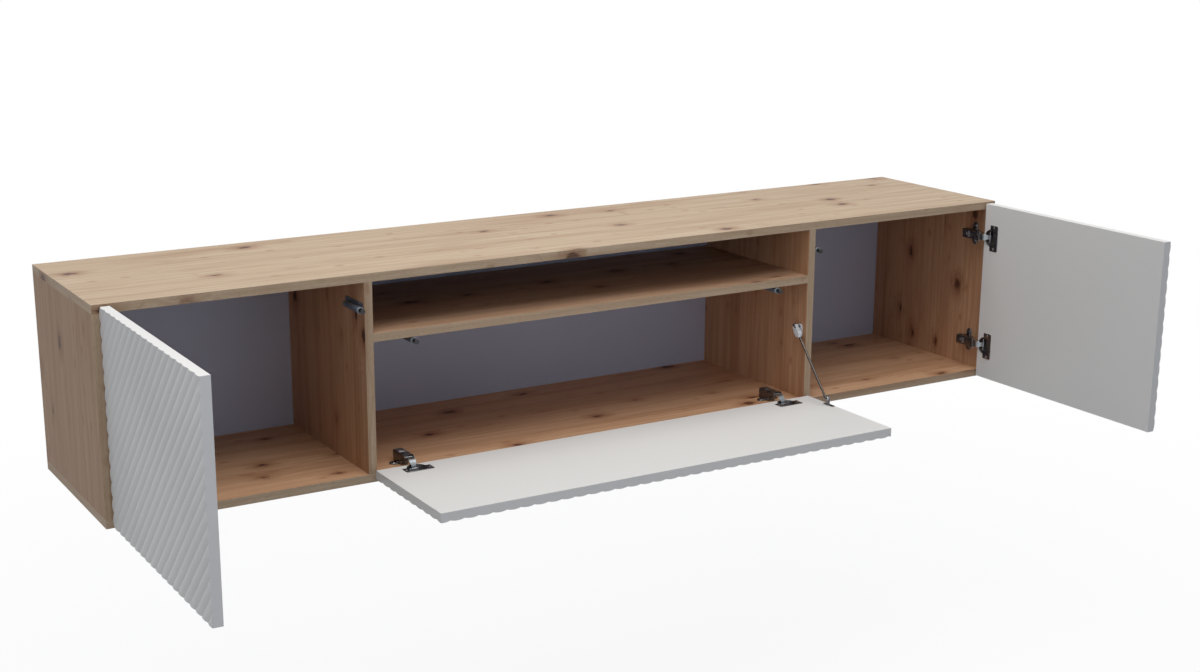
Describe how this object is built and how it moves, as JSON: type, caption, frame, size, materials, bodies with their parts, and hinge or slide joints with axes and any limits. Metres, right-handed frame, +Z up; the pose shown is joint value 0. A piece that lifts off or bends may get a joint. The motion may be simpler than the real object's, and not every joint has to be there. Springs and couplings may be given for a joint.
{
  "type": "floating media console",
  "caption": "Wall-hung media console: side-hinged doors, a drop-down flap under an open niche, and diagonal flutes across the fronts.",
  "frame": {"origin": "on the wall, midway between the screw holes of the two outer wall plates", "axes": "+X to the right seen from the front, +Y into the wall, +Z up"},
  "size_m": [2, 0.882, 0.394],
  "materials": {
    "oak_laminate": "matt knotty oak print on chipboard",
    "back_sheet": "pale grey lacquered hardboard",
    "fluted_front": "matt white foil on milled fibreboard",
    "latch_plastic": "satin blue-grey",
    "black_plastic": "matt black",
    "white_plastic": "satin white",
    "bright_rod": "polished",
    "beech": "plain beech",
    "link_steel": "nickel plated",
    "cam_zinc": "bare zinc",
    "fitting_steel": "dark nickel plated"
  },
  "bodies": {
    "carcass": {"back_panel_nails": "fitting_steel", "bottom_panel": "oak_laminate", "bottom_screws": "fitting_steel", "cam_bolts": "fitting_steel", "cam_locks": "cam_zinc", "dowels": "beech", "flap_hinge_arms": "fitting_steel", "flap_hinge_plates": "fitting_steel", "flap_left_latch_body": "latch_plastic", "flap_right_latch_body": "latch_plastic", "hanger_hooks": "fitting_steel", "hinge_arm_screws": "fitting_steel", "hinge_plate_screws": "fitting_steel", "latch_screws": "fitting_steel", "left_back_panel": "back_sheet", "left_divider": "oak_laminate", "left_door_hinge_arms": "fitting_steel", "left_door_hinge_plates": "fitting_steel", "left_door_latch_body": "latch_plastic", "left_side_panel": "oak_laminate", "middle_back_panel": "back_sheet", "middle_shelf": "oak_laminate", "right_back_panel": "back_sheet", "right_divider": "oak_laminate", "right_door_hinge_arms": "fitting_steel", "right_door_hinge_plates": "fitting_steel", "right_door_latch_body": "latch_plastic", "right_side_panel": "oak_laminate", "stay_bracket": "white_plastic", "stay_bracket_screws": "fitting_steel", "top_panel": "oak_laminate", "wall_hangers": "fitting_steel", "wall_plates": "fitting_steel"},
    "left_door_link": {"left_door_hinge_links": "link_steel"},
    "right_door_link": {"right_door_hinge_links": "link_steel"},
    "flap_link": {"flap_hinge_links": "link_steel"},
    "left_door": {"left_door": "fluted_front", "left_door_hinge_cups": "fitting_steel", "left_door_cup_screws": "fitting_steel"},
    "right_door": {"right_door": "fluted_front", "right_door_hinge_cups": "fitting_steel", "right_door_cup_screws": "fitting_steel"},
    "flap": {"flap": "fluted_front", "flap_hinge_cups": "fitting_steel", "flap_cup_screws": "fitting_steel", "flap_stay_bracket": "fitting_steel", "flap_stay_bracket_screws": "fitting_steel", "stay_clip": "white_plastic"},
    "stay_block": {"stay_block": "white_plastic"},
    "stay_rod": {"stay_rod": "bright_rod"},
    "left_door_plunger": {"left_door_latch_plunger": "black_plastic"},
    "right_door_plunger": {"right_door_latch_plunger": "black_plastic"},
    "flap_left_plunger": {"flap_left_latch_plunger": "black_plastic"},
    "flap_right_plunger": {"flap_right_latch_plunger": "black_plastic"}
  },
  "joints": [
    {"name": "left_door_link_turn", "type": "hinge", "parent": "carcass", "child": "left_door_link", "pos_m": [-0.967, -0.373, -0.148], "axis": [0, 0, 1], "range_deg": [-31.2, 0]},
    {"name": "left_door_turn", "type": "hinge", "parent": "left_door_link", "child": "left_door", "pos_m": [-0.97651, -0.39629, -0.148], "axis": [0, 0, -1], "range_deg": [-121.2, 0]},
    {"name": "right_door_link_turn", "type": "hinge", "parent": "carcass", "child": "right_door_link", "pos_m": [0.967, -0.373, -0.148], "axis": [0, 0, -1], "range_deg": [-31.2, 0]},
    {"name": "right_door_turn", "type": "hinge", "parent": "right_door_link", "child": "right_door", "pos_m": [0.97651, -0.39629, -0.148], "axis": [0, 0, 1], "range_deg": [-121.2, 0]},
    {"name": "flap_link_turn", "type": "hinge", "parent": "carcass", "child": "flap_link", "pos_m": [0, -0.3758, -0.3105], "axis": [-1, 0, 0], "range_deg": [-24.3, 0]},
    {"name": "flap_turn", "type": "hinge", "parent": "flap_link", "child": "flap", "pos_m": [0, -0.39643, -0.32653], "axis": [1, 0, 0], "range_deg": [-114.3, 0]},
    {"name": "stay_block_turn", "type": "hinge", "parent": "carcass", "child": "stay_block", "pos_m": [0.483, -0.362, -0.184], "axis": [-1, 0, 0], "range_deg": [-35, 0]},
    {"name": "stay_rod_slide", "type": "slide", "parent": "stay_block", "child": "stay_rod", "axis": [0, -0.6503, -0.7597], "range_m": [-0.084, 0]},
    {"name": "left_door_plunger_slide", "type": "slide", "parent": "carcass", "child": "left_door_plunger", "axis": [0, -1, 0], "range_m": [-0.0093, 0]},
    {"name": "right_door_plunger_slide", "type": "slide", "parent": "carcass", "child": "right_door_plunger", "axis": [0, -1, 0], "range_m": [-0.0093, 0]},
    {"name": "flap_left_plunger_slide", "type": "slide", "parent": "carcass", "child": "flap_left_plunger", "axis": [0, -1, 0], "range_m": [-0.0093, 0]},
    {"name": "flap_right_plunger_slide", "type": "slide", "parent": "carcass", "child": "flap_right_plunger", "axis": [0, -1, 0], "range_m": [-0.0093, 0]}
  ],
  "couplings": [
    {"joint": "left_door_link_turn", "follows": "left_door_turn", "ratio": 0.25743},
    {"joint": "right_door_link_turn", "follows": "right_door_turn", "ratio": 0.25743},
    {"joint": "flap_link_turn", "follows": "flap_turn", "ratio": 0.2126},
    {"joint": "stay_block_turn", "follows": "flap_turn", "ratio": 0.30621},
    {"joint": "stay_rod_slide", "follows": "flap_turn", "m_per_rad": 0.042107},
    {"joint": "left_door_plunger_slide", "follows": "left_door_turn", "m_per_rad": 0.0043964},
    {"joint": "right_door_plunger_slide", "follows": "right_door_turn", "m_per_rad": 0.0043964},
    {"joint": "flap_left_plunger_slide", "follows": "flap_turn", "m_per_rad": 0.0046618},
    {"joint": "flap_right_plunger_slide", "follows": "flap_turn", "m_per_rad": 0.0046618}
  ]
}
